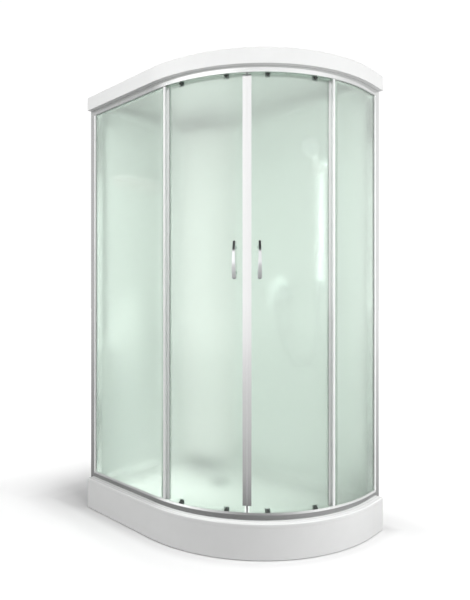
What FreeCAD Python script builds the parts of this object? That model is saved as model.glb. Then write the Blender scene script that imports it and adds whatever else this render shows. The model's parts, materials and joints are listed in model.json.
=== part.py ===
"""Corner shower cabin with two curved sliding doors, a tray on feet, a roof and a hand shower.

Millimetres. The floor is at z = 0, the long wall at the back (+Y) and the short wall at the left (-X).
The front follows a straight run, a quarter arc and a short straight run. Angles on the arc are counted
from the end of the long straight run, in degrees, and grow towards the right.
"""
import FreeCAD, Part
import math
import os
import Sketcher

SIZES = {
    # plan of the frame's outer face
    "frame_radius": 680,
    "long_straight": 500,
    "short_straight": 100,
    "rim_overhang": 20,
    # tray
    "tray_height": 150,
    "tray_skin": 6,
    "basin_depth": 60,
    "rim_width": 80,
    "rim_lip": 16,
    "rim_round": 5,
    "basin_round": 18,
    "apron_skin": 5,
    "apron_seam": 0.5,
    "apron_lift": 3,
    "apron_return": 24,
    # steel frame and feet under the tray
    "tube_size": 25,
    "tube_wall": 2,
    "tube_inset": 150,
    "foot_radius": 28,
    "foot_pad": 12,
    "foot_stem_radius": 6,
    "nut_radius": 11,
    "nut_height": 9,
    # waste
    "waste_hole_radius": 45,
    "waste_gap": 0.5,
    "waste_flange_radius": 58,
    "waste_flange": 4,
    "waste_bowl_depth": 71,
    "waste_wall": 3,
    "waste_seal": 3,
    "outlet_radius": 20,
    "outlet_spigot": 40,
    "outlet_end_gap": 25,
    "cover_radius": 56,
    "cover_height": 9,
    # aluminium rails and wall profiles
    "frame_height": 1880,
    "bottom_rail_height": 28,
    "rail_lip": 8,
    "top_rail_height": 36,
    "rail_depth": 50,
    "rail_wall": 2.5,
    "rail_rib": 2,
    "channel_width": 10.5,
    "channel_depth": 20,
    "track_lip": 2,
    "ledge_width": 13,
    "wall_profile_width": 28,
    "glass_profile_width": 10,
    "glass_profile_step": 1,
    "profile_wall": 2,
    # glass
    "glass_thickness": 5,
    "gasket_thickness": 3,
    "gasket_height": 11,
    "gasket_proud": 1,
    "gasket_width": 3,
    "glass_seat": 6,
    "slot_clearance": 0.3,
    "edge_trim_width": 10,
    "edge_trim_wall": 2,
    # doors: positions along the arc, in degrees from the line where the doors meet
    "meeting_angle": 38,
    "fixed_edge_span": 32.3,
    "door_span": 35,
    "lead_roller_span": 7.5,
    "trail_roller_span": 25.8,
    "handle_span": 4.5,
    # doors: sizes
    "door_setback": 24,
    "door_gap": 2,
    "door_lift": 13.5,
    "stile_front": 5,
    "stile_back": 5,
    "lead_stile_width": 14,
    "lead_stile_low": 58,
    "lead_stile_high": 38,
    "trail_stile_width": 42,
    "trail_stile_low": 32,
    "trail_stile_high": 38,
    "stile_slot": 9,
    "seal_width": 4,
    "seal_split": 0.25,
    "seal_inset": 2,
    "drip_seal_height": 10,
    "drip_seal_width": 3,
    # rollers
    "wheel_radius": 8,
    "wheel_width": 7,
    "wheel_standoff": 8,
    "wheel_headroom": 2.7,
    "track_clearance": 0.3,
    "axle_radius": 2.5,
    "axle_clearance": 0.1,
    "axle_head": 1,
    "bracket_thickness": 3,
    "bracket_width": 22,
    "bolt_radius": 2.5,
    "bolt_clearance": 0.5,
    "bolt_low_edge": 18,
    "bolt_high_edge": 12.5,
    "cap_width": 22,
    "cap_low_height": 16,
    "cap_high_height": 10,
    "cap_bolt_edge": 4,
    "cap_thickness": 7,
    "cap_round": 1.6,
    # handles
    "handle_height": 1075,
    "handle_length": 160,
    "handle_bow": 22,
    "handle_standoff": 10,
    "handle_thickness": 7,
    "handle_top_width": 11,
    "handle_low_width": 18,
    "handle_round": 2.5,
    "handle_post_radius": 5,
    "handle_post_span": 104,
    "handle_nut_radius": 9,
    "handle_nut": 5,
    # back walls and corner column
    "service_gap": 24,
    "panel_thickness": 5,
    "corner_post_leg": 62,
    "column_on_short_wall": 140,
    "column_on_long_wall": 285,
    "column_radius": 240,
    "column_skin": 4,
    # shelf on the short wall
    "shelf_height": 1690,
    "shelf_centre": 475,
    "shelf_length": 330,
    "shelf_depth": 100,
    "shelf_thickness": 8,
    "shelf_back": 40,
    # mixer on the long wall
    "mixer_along": 640,
    "mixer_height": 1120,
    "rose_radius": 52,
    "rose_thickness": 7,
    "barrel_radius": 24,
    "barrel_length": 46,
    "barrel_clearance": 1,
    "cap_length": 20,
    "turn_clearance": 0.3,
    "lever_length": 95,
    "lever_width": 14,
    "lever_thickness": 8,
    "lever_fork": 10,
    "lever_pin_radius": 2.5,
    "lever_pin_depth": 5,
    "inlet_radius": 10.4,
    "inlet_span": 60,
    "inlet_bore": 7,
    "inlet_length": 16,
    "elbow_radius": 11,
    "elbow_length": 46,
    # hand shower on its bar: the low end is set from the top of the frame, the slider from that end
    "bar_along": 918,
    "bar_standoff": 50,
    "bar_radius": 9,
    "bar_bore": 7.5,
    "bar_low": 925,
    "bar_length": 640,
    "bar_end": 14,
    "bar_bracket_radius": 13,
    "bar_rose_radius": 22,
    "bar_rose": 6,
    "slider_height": 585,
    "slider_radius": 17,
    "slider_length": 44,
    "slider_clearance": 0.05,
    "slider_arm": 49,
    "slider_arm_radius": 9,
    "pivot_radius": 4,
    "pivot_depth": 2.8,
    "fork_thickness": 3.5,
    "holder_radius": 17,
    "holder_width": 30,
    "holder_gap": 1,
    "handset_lean": 15,
    "handset_handle": 150,
    "handset_tail": 45,
    "handset_radius": 11,
    "holder_clearance": 0.3,
    "head_radius": 46,
    "head_thickness": 20,
    "head_tilt": 110,
    "head_offset": 14.5,
    "spray_radius": 36,
    "spray_thickness": 4,
    "hose_radius": 7,
    "hose_bore": 4.5,
    "hose_drop": 735,
    "hose_end_run": 70,
    "hose_bow": 30,
    "hose_rise": 190,
    # roof
    "roof_fascia": 56,
    "roof_skin": 4,
    "roof_flange": 78,
    "roof_skirt": 9,
    "roof_gap": 1,
    "roof_round": 6,
    "roof_shoulder": 30,
    "roof_rise": 20,
    "dome_slope": 44,
    # screws that hold the rails to the wall profiles
    "screw_head_radius": 4.5,
    "screw_head": 2.5,
}

doc = FreeCAD.newDocument("shower_cabin")
sheet = doc.addObject("Spreadsheet::Sheet", "dims")
for row, (alias, value) in enumerate(SIZES.items(), start=1):
    sheet.set(f"A{row}", alias.replace("_", " "))
    sheet.set(f"B{row}", str(value))
    sheet.setAlias(f"B{row}", alias)
doc.recompute()

# Places that several pieces share, as expressions on the sheet.
ARC_X = "((dims.long_straight - dims.frame_radius - dims.rim_overhang) / 2)"
ARC_Y = "((dims.frame_radius + dims.rim_overhang - dims.short_straight) / 2)"
SHORT_WALL = f"({ARC_X} - dims.long_straight)"
LONG_WALL = f"({ARC_Y} + dims.short_straight)"
TRAY_RADIUS = "(dims.frame_radius + dims.rim_overhang)"
RIM = "dims.tray_height"
FRAME_TOP = "(dims.tray_height + dims.frame_height)"
BASIN_FLOOR = "(dims.tray_height - dims.basin_depth)"
BASIN_UNDER = f"({BASIN_FLOOR} - dims.tray_skin)"
PANEL_X = f"({SHORT_WALL} + dims.service_gap + dims.panel_thickness)"
PANEL_Y = f"({LONG_WALL} - dims.service_gap - dims.panel_thickness)"
BOTTOM_LIP = "(dims.tray_height + dims.bottom_rail_height + dims.rail_lip)"
FIXED_GLASS = "(dims.rail_wall + dims.gasket_thickness)"
RIB = "(dims.rail_wall + dims.channel_width)"
DOOR_OUT = "(dims.frame_radius - dims.door_setback)"
DOOR_IN = f"({DOOR_OUT} - dims.glass_thickness)"
WHEEL_OUT = f"({DOOR_IN} - dims.wheel_standoff)"
WHEEL_IN = f"({WHEEL_OUT} - dims.wheel_width)"
BOTTOM_TRACK = f"({RIM} + dims.rail_wall)"
BOTTOM_WHEEL = f"({BOTTOM_TRACK} + dims.track_clearance + dims.wheel_radius)"
TOP_WHEEL = f"({FRAME_TOP} - dims.rail_wall - dims.wheel_headroom - dims.wheel_radius)"
TOP_TRACK = f"({TOP_WHEEL} - dims.wheel_radius - dims.track_clearance)"
LEDGE_UNDER = f"({TOP_TRACK} - dims.rail_wall)"
DOOR_LOW = f"({BOTTOM_TRACK} + dims.door_lift)"
DOOR_HIGH = f"({LEDGE_UNDER} - dims.door_gap)"
DEGREES_PER_MM = f"(180 / pi / {DOOR_OUT})"
BAR_X = f"({PANEL_X} + dims.bar_along - dims.service_gap)"
BAR_Y = f"({PANEL_Y} - dims.bar_standoff)"
BAR_LOW = f"({FRAME_TOP} - dims.bar_low)"
SLIDER_Z = f"({BAR_LOW} + dims.slider_height)"
MIXER_X = f"({PANEL_X} + dims.mixer_along - dims.service_gap)"
PIVOT_Y = f"({BAR_Y} - dims.slider_arm)"

nodes = []


def number(expression):
    """Value of an expression on the sheet."""
    return float(sheet.evalExpression(expression.replace("dims.", "")))


def bind(thing, **expressions):
    """Ties properties to the sheet; a double underscore stands for a dot."""
    for name, expression in expressions.items():
        thing.setExpression(name.replace("__", "."), expression)


def place(thing, x="0", y="0", z="0", yaw="0", roll="0"):
    """Ties an object's placement to the sheet: a roll about X, then a yaw about Z."""
    bind(thing, Placement__Base__x=x, Placement__Base__y=y, Placement__Base__z=z)
    if roll != "0":
        bind(thing, Placement__Rotation__Roll=roll)
    if yaw != "0":
        bind(thing, Placement__Rotation__Yaw=yaw)


def node(thing, label):
    """Names an object as one piece of the cabin."""
    thing.Label = label
    nodes.append(thing)
    return thing


def new_body(name, x="0", y="0", z="0", yaw="0", roll="0"):
    body = doc.addObject("PartDesign::Body", name)
    place(body, x, y, z, yaw, roll)
    return body


def at_arc(name, yaw="0"):
    """A body whose origin is the centre of the front arc."""
    return new_body(name, ARC_X, ARC_Y, yaw=yaw)


def polar(radius, angle):
    """Point of the plan at an angle of the front arc, seen from the arc's centre."""
    return (f"({radius}) * sin({angle})", f"-({radius}) * cos({angle})")


def arc(radius, convex=True):
    """Marks the edge from one outline point to the next as an arc that bulges out or in."""
    return {"radius": radius, "convex": convex}


def new_sketch(body, name, plane="XY_Plane", offset="0"):
    origin_plane = [item for item in body.Origin.OriginFeatures if item.Role == plane][0]
    sketch = body.newObject("Sketcher::SketchObject", name)
    sketch.AttachmentSupport = [(origin_plane, "")]
    sketch.MapMode = "FlatFace"
    bind(sketch, AttachmentOffset__Base__z=offset)
    return sketch


def dimension(sketch, name, expression, *constraint):
    index = sketch.addConstraint(Sketcher.Constraint(*constraint, number(expression)))
    sketch.renameConstraint(index, name)
    sketch.setExpression(f"Constraints.{name}", expression)


def arc_between(start, end, radius):
    """Circle arc that runs anticlockwise from one point to another, no more than half a turn."""
    chord = end - start
    left = FreeCAD.Vector(-chord.y, chord.x, 0).normalize()
    centre = (start + end) / 2 + left * math.sqrt(max(radius ** 2 - (chord.Length / 2) ** 2, 0))
    first = math.atan2(start.y - centre.y, start.x - centre.x)
    last = math.atan2(end.y - centre.y, end.x - centre.x)
    if last < first:
        last += 2 * math.pi
    return Part.ArcOfCircle(Part.Circle(centre, FreeCAD.Vector(0, 0, 1), radius), first, last)


def outline(sketch, steps):
    """Draws one closed outline, walked anticlockwise, with every corner dimensioned from the origin."""
    corners = [step for step in steps if isinstance(step, tuple)]
    points = [FreeCAD.Vector(number(x), number(y), 0) for x, y in corners]
    curves = {}
    for index, step in enumerate(steps):
        if isinstance(step, dict):
            before = sum(isinstance(item, tuple) for item in steps[:index]) - 1
            curves[before] = step
    first = sketch.GeometryCount
    count = len(points)
    ends = []
    for index, point in enumerate(points):
        following = points[(index + 1) % count]
        if index in curves:
            curve = curves[index]
            ahead = curve["convex"]
            ends.append((1, 2) if ahead else (2, 1))
            first_end, last_end = (point, following) if ahead else (following, point)
            shape = arc_between(first_end, last_end, number(curve["radius"]))
            geometry = sketch.addGeometry(shape, False)
            dimension(sketch, f"radius_{geometry}", curve["radius"], "Radius", geometry)
        else:
            geometry = sketch.addGeometry(Part.LineSegment(point, following), False)
            ends.append((1, 2))
    for index in range(count):
        following = (index + 1) % count
        sketch.addConstraint(Sketcher.Constraint(
            "Coincident", first + index, ends[index][1], first + following, ends[following][0]))
    for index, (x, y) in enumerate(corners):
        geometry = first + index
        dimension(sketch, f"across_{geometry}", x, "DistanceX", -1, 1, geometry, ends[index][0])
        dimension(sketch, f"up_{geometry}", y, "DistanceY", -1, 1, geometry, ends[index][0])


def circle(sketch, radius, x="0", y="0"):
    centre = FreeCAD.Vector(number(x), number(y), 0)
    geometry = sketch.addGeometry(Part.Circle(centre, FreeCAD.Vector(0, 0, 1), number(radius)), False)
    dimension(sketch, f"radius_{geometry}", radius, "Radius", geometry)
    dimension(sketch, f"across_{geometry}", x, "DistanceX", -1, 1, geometry, 3)
    dimension(sketch, f"up_{geometry}", y, "DistanceY", -1, 1, geometry, 3)


def pad(body, sketch, length, reverse=False, middle=False, pocket=False):
    kind = "PartDesign::Pocket" if pocket else "PartDesign::Pad"
    feature = body.newObject(kind, f"{sketch.Name}_{'cut' if pocket else 'pad'}")
    feature.Profile = sketch
    feature.Reversed = reverse
    feature.Midplane = middle
    bind(feature, Length=length)
    return feature


def slab(body, name, low, high, *outlines):
    """Upright block between two heights with the given outlines in plan."""
    sketch = new_sketch(body, name, offset=low)
    for steps in outlines:
        outline(sketch, steps)
    return pad(body, sketch, f"({high}) - ({low})")


def recess(body, name, low, high, *outlines):
    """Cuts the given outlines out of a body between two heights."""
    sketch = new_sketch(body, name, offset=high)
    for steps in outlines:
        outline(sketch, steps)
    return pad(body, sketch, f"({high}) - ({low})", pocket=True)


def box_steps(x_low, y_low, x_high, y_high):
    return [(x_low, y_low), (x_high, y_low), (x_high, y_high), (x_low, y_high)]


def front_steps(near, far, left_end="dims.long_straight", right_end="dims.short_straight"):
    """Band along the whole front, between two depths behind the frame's outer face."""
    outer = f"(dims.frame_radius - ({near}))"
    inner = f"(dims.frame_radius - ({far}))"
    return [
        (f"-({left_end})", f"-{outer}"), ("0", f"-{outer}"), arc(outer),
        (outer, "0"), (outer, right_end), (inner, right_end), (inner, "0"), arc(inner, convex=False),
        ("0", f"-{inner}"), (f"-({left_end})", f"-{inner}"),
    ]


def left_steps(near, far, left_end, edge):
    """Band along the long straight run and the arc up to an angle."""
    outer = f"(dims.frame_radius - ({near}))"
    inner = f"(dims.frame_radius - ({far}))"
    return [
        (f"-({left_end})", f"-{outer}"), ("0", f"-{outer}"), arc(outer), polar(outer, edge),
        polar(inner, edge), arc(inner, convex=False), ("0", f"-{inner}"),
        (f"-({left_end})", f"-{inner}"),
    ]


def right_steps(near, far, right_end, edge):
    """Band from an angle of the arc to the short straight run."""
    outer = f"(dims.frame_radius - ({near}))"
    inner = f"(dims.frame_radius - ({far}))"
    return [
        polar(outer, edge), arc(outer), (outer, "0"), (outer, right_end), (inner, right_end),
        (inner, "0"), arc(inner, convex=False), polar(inner, edge),
    ]


def sector_steps(outer, inner, start, end):
    """Band of the arc between two radii and two angles."""
    return [
        polar(outer, start), arc(outer), polar(outer, end),
        polar(inner, end), arc(inner, convex=False), polar(inner, start),
    ]


def whole_steps(inset):
    """Whole plan of the cabin, drawn in by an inset on every side."""
    radius = f"({TRAY_RADIUS} - ({inset}))"
    left = f"-(dims.long_straight - ({inset}))"
    back = f"(dims.short_straight - ({inset}))"
    return [
        (left, f"-{radius}"), ("0", f"-{radius}"), arc(radius), (radius, "0"), (radius, back), (left, back),
    ]


def tapered(body, name, low, low_steps, high, high_steps, hollow=False):
    """Block that narrows from one outline to another above it, added to a body or taken out of it."""
    foot = new_sketch(body, f"{name}_low", offset=low)
    outline(foot, low_steps)
    crest = new_sketch(body, f"{name}_high", offset=high)
    outline(crest, high_steps)
    feature = body.newObject("PartDesign::SubtractiveLoft" if hollow else "PartDesign::AdditiveLoft", name)
    feature.Profile = foot
    feature.Sections = [crest]
    feature.Ruled = True
    return feature


def edges_at(feature, test):
    """Names of a feature's edges whose middle point and ends pass a test."""
    names = []
    for index, edge in enumerate(feature.Shape.Edges, start=1):
        points = [vertex.Point for vertex in edge.Vertexes]
        points.append(edge.valueAt((edge.FirstParameter + edge.LastParameter) / 2))
        if all(test(point) for point in points):
            names.append(f"Edge{index}")
    return names


def fillet(body, feature, radius, test):
    doc.recompute()
    rounding = body.newObject("PartDesign::Fillet", f"{feature.Name}_round")
    rounding.Base = (feature, edges_at(feature, test))
    bind(rounding, Radius=radius)
    return rounding


def level(height):
    """Test for points that lie at one height."""
    z = number(height)
    return lambda point: abs(point.z - z) < 0.01


def turned(body, name, steps):
    """Solid of revolution about the body's upright axis; the outline gives radius and height."""
    sketch = new_sketch(body, name, plane="XZ_Plane")
    outline(sketch, steps)
    feature = body.newObject("PartDesign::Revolution", f"{name}_turned")
    feature.Profile = sketch
    feature.ReferenceAxis = (sketch, ["V_Axis"])
    feature.Angle = 360
    return feature


def rod(name, radius, length, x="0", y="0", z="0", yaw="0", roll="0"):
    thing = doc.addObject("Part::Cylinder", name)
    bind(thing, Radius=radius, Height=length)
    place(thing, x, y, z, yaw, roll)
    return thing


def block(name, x_low, y_low, z_low, length, width, height):
    thing = doc.addObject("Part::Box", name)
    bind(thing, Length=length, Width=width, Height=height)
    place(thing, x_low, y_low, z_low)
    return thing


def radial_rod(name, radius, start, length, angle, height):
    """Round bar that points outwards at an angle of the front arc, from a radius of that arc."""
    x, y = polar(start, angle)
    return rod(name, radius, length, f"{ARC_X} + {x}", f"{ARC_Y} + {y}", height, yaw=angle, roll="90")


def cut(name, base, tool):
    thing = doc.addObject("Part::Cut", name)
    thing.Base = base
    thing.Tool = tool
    return thing


def fuse(name, *things):
    thing = doc.addObject("Part::MultiFuse", name)
    thing.Shapes = list(things)
    return thing


def group(name, things):
    thing = doc.addObject("Part::Compound", name)
    thing.Links = things
    return thing


def tray():
    shell = at_arc("tray_shell")
    slab(shell, "rim", f"{RIM} - dims.tray_skin", RIM, whole_steps("0"))
    slab(shell, "lip", f"{RIM} - dims.rim_lip", f"{RIM} - dims.tray_skin / 2", front_steps(
        "-dims.rim_overhang", "dims.apron_skin - dims.rim_overhang"))
    outer = slab(shell, "basin_outside", BASIN_UNDER, f"{RIM} - dims.tray_skin / 2",
                 whole_steps("dims.rim_width - dims.tray_skin"))
    outer = fillet(shell, outer, "dims.rim_round",
                   lambda point: level(RIM)(point) and on_front_edge(point))
    inside = recess(shell, "basin_inside", BASIN_FLOOR, RIM, whole_steps("dims.rim_width"))
    fillet(shell, inside, "dims.basin_round", level(BASIN_FLOOR))
    hole = new_sketch(shell, "waste_hole", offset=BASIN_FLOOR)
    circle(hole, "dims.waste_hole_radius", *WASTE)
    pad(shell, hole, "2 * dims.tray_skin", pocket=True)
    node(shell, "tray_shell")

    apron = at_arc("front_apron")
    outside = "-dims.rim_overhang"
    slab(apron, "face", "dims.apron_lift", f"{RIM} - dims.rim_lip - dims.apron_seam",
         front_steps(outside, "dims.apron_skin - dims.rim_overhang"))
    slab(apron, "foot", "dims.apron_lift", "dims.apron_lift + dims.apron_skin",
         front_steps(outside, "dims.apron_return - dims.rim_overhang"))
    node(apron, "front_apron")


def on_front_edge(point):
    """Whether a point of the plan lies on the outer edge of the front, seen from the arc's centre."""
    radius = number(TRAY_RADIUS)
    straight = point.x <= 0.01 and abs(point.y + radius) < 0.01
    short = point.y >= -0.01 and abs(point.x - radius) < 0.01
    bend = abs(math.hypot(point.x, point.y) - radius) < 0.01
    return straight or short or bend


# The waste lies on the arc's centre line in plan, a little in front of the long wall.
WASTE = ("-dims.rim_width", "-2 * dims.rim_width")


def under_tray():
    """Square steel tubes, screw feet with lock nuts and the waste trap."""
    top = BASIN_UNDER
    low = f"({top} - dims.tube_size)"
    left = f"({SHORT_WALL} + dims.tube_inset)"
    right = f"({ARC_X} + dims.frame_radius * 0.62)"
    back = f"({LONG_WALL} - dims.tube_inset)"
    front = f"({ARC_Y} - dims.frame_radius * 0.62)"

    def tube(name, x, y, length, width, along_x):
        outside = block(f"{name}_outside", x, y, low, length, width, "dims.tube_size")
        if along_x:
            inside = block(f"{name}_inside", x, f"{y} + dims.tube_wall", f"{low} + dims.tube_wall", length,
                           f"({width}) - 2 * dims.tube_wall", "dims.tube_size - 2 * dims.tube_wall")
        else:
            inside = block(f"{name}_inside", f"{x} + dims.tube_wall", y, f"{low} + dims.tube_wall",
                           f"({length}) - 2 * dims.tube_wall", width, "dims.tube_size - 2 * dims.tube_wall")
        return cut(name, outside, inside)

    run = f"({right} - {left})"
    reach = f"({back} - {front} - dims.tube_size)"
    between = f"({front} + dims.tube_size)"
    middle = f"({left} + {run} / 2)"
    node(group("tray_frame", [
        tube("back_tube", left, back, run, "dims.tube_size", True),
        tube("front_tube", left, front, run, "dims.tube_size", True),
        tube("left_tube", left, between, "dims.tube_size", reach, False),
        tube("middle_tube", middle, between, "dims.tube_size", reach, False),
        tube("right_tube", f"{right} - dims.tube_size", between, "dims.tube_size", reach, False),
    ]), "tray_frame")

    feet = []
    nuts = []
    columns = (f"{left} + dims.tube_size * 2", f"{middle} + dims.tube_size * 2.5",
               f"{right} - dims.tube_size * 2")
    for column, x in enumerate(columns):
        for line, y in enumerate((f"{front} + dims.tube_size / 2", f"{back} + dims.tube_size / 2")):
            name = f"foot_{column}_{line}"
            plate = rod(f"{name}_pad", "dims.foot_radius", "dims.foot_pad", x, y, "0")
            stem = rod(f"{name}_stem", "dims.foot_stem_radius", f"{low} - dims.foot_pad", x, y,
                       "dims.foot_pad")
            feet.append(fuse(name, plate, stem))
            under = f"{low} - dims.nut_height"
            ring = rod(f"{name}_nut_body", "dims.nut_radius", "dims.nut_height", x, y, under)
            bore = rod(f"{name}_nut_bore", "dims.foot_stem_radius + dims.slot_clearance", "dims.nut_height",
                       x, y, under)
            nuts.append(cut(f"{name}_nut", ring, bore))
    node(group("tray_feet", feet), "tray_feet")
    node(group("foot_lock_nuts", nuts), "foot_lock_nuts")

    x = f"({ARC_X} + {WASTE[0]})"
    y = f"({ARC_Y} + {WASTE[1]})"
    neck = "(dims.waste_hole_radius - dims.waste_gap)"
    bowl_low = f"({BASIN_UNDER} - dims.waste_bowl_depth)"
    bowl = new_body("waste_bowl", x, y)
    seat = f"({BASIN_UNDER} - dims.waste_seal)"
    turned(bowl, "bowl", [
        ("0", bowl_low), (neck, bowl_low), (neck, f"{seat} - dims.waste_flange"),
        ("dims.waste_flange_radius", f"{seat} - dims.waste_flange"), ("dims.waste_flange_radius", seat),
        (neck, seat), (neck, BASIN_FLOOR), (f"{neck} - dims.waste_wall", BASIN_FLOOR),
        (f"{neck} - dims.waste_wall", f"{bowl_low} + dims.waste_wall"),
        ("0", f"{bowl_low} + dims.waste_wall"),
    ])
    outlet_z = f"({bowl_low} + dims.outlet_radius + dims.waste_wall / 2)"
    reach = f"({LONG_WALL} - dims.outlet_end_gap - {y})"
    start = f"({neck} - dims.waste_wall)"
    pipe = rod("outlet_pipe", "dims.outlet_radius + dims.waste_wall / 2",
               f"{reach} - {start} - dims.outlet_spigot", x, f"{y} + {start}", outlet_z, yaw="180", roll="90")
    stub = rod("outlet_stub", "dims.outlet_radius", f"{reach} - {start}", x, f"{y} + {start}",
               outlet_z, yaw="180", roll="90")
    passage = rod("outlet_bore", "dims.outlet_radius - dims.waste_wall", f"{reach} - {start} / 2", x,
                  f"{y} + {start} / 2", outlet_z, yaw="180", roll="90")
    node(cut("drain_body", fuse("drain_solid", bowl, pipe, stub), passage), "drain_body")

    ring = rod("drain_seal_ring", "dims.waste_flange_radius", "dims.waste_seal", x, y, seat)
    bore = rod("drain_seal_bore", f"{neck} + dims.slot_clearance", "dims.waste_seal", x, y, seat)
    node(cut("drain_seal", ring, bore), "drain_seal")

    cover = new_body("drain_cover", x, y, BASIN_FLOOR)
    plug = f"({neck} - dims.waste_wall - dims.slot_clearance * 2)"
    turned(cover, "dome", [
        ("0", "-dims.cover_height"), (plug, "-dims.cover_height"), (plug, "0"), ("dims.cover_radius", "0"),
        ("dims.cover_radius", "dims.cover_height * 0.3"),
        ("dims.cover_radius * 0.8", "dims.cover_height * 0.8"),
        ("dims.cover_radius * 0.4", "dims.cover_height"), ("0", "dims.cover_height"),
    ])
    node(cover, "drain_cover")


def rails():
    left = "dims.long_straight - dims.wall_profile_width"
    right = "dims.short_straight - dims.wall_profile_width"
    back = "dims.rail_depth - dims.rail_rib"
    bottom = at_arc("bottom_rail")
    face_top = f"({RIM} + dims.bottom_rail_height)"
    slab(bottom, "web", RIM, BOTTOM_TRACK, front_steps("0", "dims.rail_depth", left, right))
    slab(bottom, "face", RIM, face_top, front_steps("0", "dims.rail_wall", left, right))
    slab(bottom, "rib", RIM, f"{RIM} + dims.channel_depth",
         front_steps(RIB, f"{RIB} + dims.rail_rib", left, right))
    slab(bottom, "track_lip", RIM, f"{BOTTOM_TRACK} + dims.track_lip",
         front_steps(back, "dims.rail_depth", left, right))
    lip_back = f"({FIXED_GLASS} - 2 * dims.slot_clearance)"
    lip_edge = f"({lip_back} - dims.rail_wall / 5)"
    tapered(bottom, "lip", face_top, front_steps("0", lip_back, left, right),
            BOTTOM_LIP, front_steps(lip_edge, lip_back, left, right))
    node(bottom, "bottom_rail")

    top = at_arc("top_rail")
    under = f"{FRAME_TOP} - dims.top_rail_height"
    web = f"{FRAME_TOP} - dims.rail_wall"
    slab(top, "web", web, FRAME_TOP, front_steps("0", "dims.rail_depth", left, right))
    slab(top, "face", under, FRAME_TOP, front_steps("0", "dims.rail_wall", left, right))
    slab(top, "rib", f"{FRAME_TOP} - dims.channel_depth", FRAME_TOP,
         front_steps(RIB, f"{RIB} + dims.rail_rib", left, right))
    slab(top, "back", LEDGE_UNDER, FRAME_TOP, front_steps(back, "dims.rail_depth", left, right))
    slab(top, "ledge", LEDGE_UNDER, TOP_TRACK, front_steps(f"{back} - dims.ledge_width", back, left, right))
    node(top, "top_rail")


def wall_profiles():
    """Profiles on the two walls, the glass profiles that slide in them and the post in the corner."""
    width = "dims.wall_profile_width"
    radius = "dims.frame_radius"
    wall = "dims.profile_wall"
    depth = "dims.rail_depth"
    left = at_arc("left_wall_profile")
    slab(left, "tube", RIM, FRAME_TOP,
         box_steps("-dims.long_straight", f"-{radius}",
                   f"{width} - dims.long_straight", f"{depth} - {radius}"),
         box_steps(f"{wall} - dims.long_straight", f"{wall} - {radius}",
                   f"{width} - {wall} - dims.long_straight", f"{depth} - {wall} - {radius}"))
    node(left, "left_wall_profile")
    right = at_arc("right_wall_profile")
    slab(right, "tube", RIM, FRAME_TOP,
         box_steps(f"{radius} - {depth}", f"dims.short_straight - {width}", radius, "dims.short_straight"),
         box_steps(f"{radius} - {depth} + {wall}", f"dims.short_straight - {width} + {wall}",
                   f"{radius} - {wall}", f"dims.short_straight - {wall}"))
    node(right, "right_wall_profile")

    low = f"{BOTTOM_LIP} + dims.slot_clearance"
    high = f"{FRAME_TOP} - dims.top_rail_height"
    start = f"(dims.long_straight - {width})"
    stop = f"({start} - dims.glass_profile_width)"
    near = "dims.glass_profile_step"
    far = f"({RIB} + dims.rail_rib)"
    slot_near = f"({FIXED_GLASS} - dims.slot_clearance)"
    slot_far = f"({FIXED_GLASS} + dims.glass_thickness + dims.slot_clearance)"
    seat = f"({start} - dims.glass_profile_width + dims.glass_seat + dims.slot_clearance)"
    left = at_arc("left_glass_profile")
    slab(left, "channel", low, high, [
        (f"-{start}", f"{near} - {radius}"), (f"-{stop}", f"{near} - {radius}"),
        (f"-{stop}", f"{slot_near} - {radius}"), (f"-{seat}", f"{slot_near} - {radius}"),
        (f"-{seat}", f"{slot_far} - {radius}"), (f"-{stop}", f"{slot_far} - {radius}"),
        (f"-{stop}", f"{far} - {radius}"), (f"-{start}", f"{far} - {radius}")])
    node(left, "left_glass_profile")
    start = f"(dims.short_straight - {width})"
    stop = f"({start} - dims.glass_profile_width)"
    seat = f"({stop} + dims.glass_seat + dims.slot_clearance)"
    right = at_arc("right_glass_profile")
    slab(right, "channel", low, high, [
        (f"{radius} - {far}", start), (f"{radius} - {far}", stop), (f"{radius} - {slot_far}", stop),
        (f"{radius} - {slot_far}", seat), (f"{radius} - {slot_near}", seat),
        (f"{radius} - {slot_near}", stop), (f"{radius} - {near}", stop), (f"{radius} - {near}", start)])
    node(right, "right_glass_profile")

    post = new_body("corner_post", SHORT_WALL, LONG_WALL)
    leg = "dims.corner_post_leg"
    gap = "dims.service_gap"
    slab(post, "angle", RIM, FRAME_TOP, [
        ("0", f"-{leg}"), (gap, f"-{leg}"), (gap, f"-{gap}"), (leg, f"-{gap}"), (leg, "0"), ("0", "0")])
    node(post, "corner_post")

    inset = "(dims.rail_depth * 0.8)"
    screws = []
    lift = "dims.screw_head_radius + dims.slot_clearance"
    for name, height in (("low", f"{BOTTOM_TRACK} + {lift}"), ("high", f"{TOP_TRACK} + {lift}")):
        for side in ("left", "right"):
            if side == "left":
                x = f"{SHORT_WALL} + {width}"
                y = f"{ARC_Y} - {radius} + {inset}"
                yaw = "90"
            else:
                x = f"{ARC_X} + {radius} - {inset}"
                y = f"{LONG_WALL} - {width}"
                yaw = "0"
            head = rod(f"screw_head_{side}_{name}", "dims.screw_head_radius", "dims.screw_head", x, y, height,
                       yaw=yaw, roll="90")
            screws.append(head)
    node(group("frame_screws", screws), "frame_screws")


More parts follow.
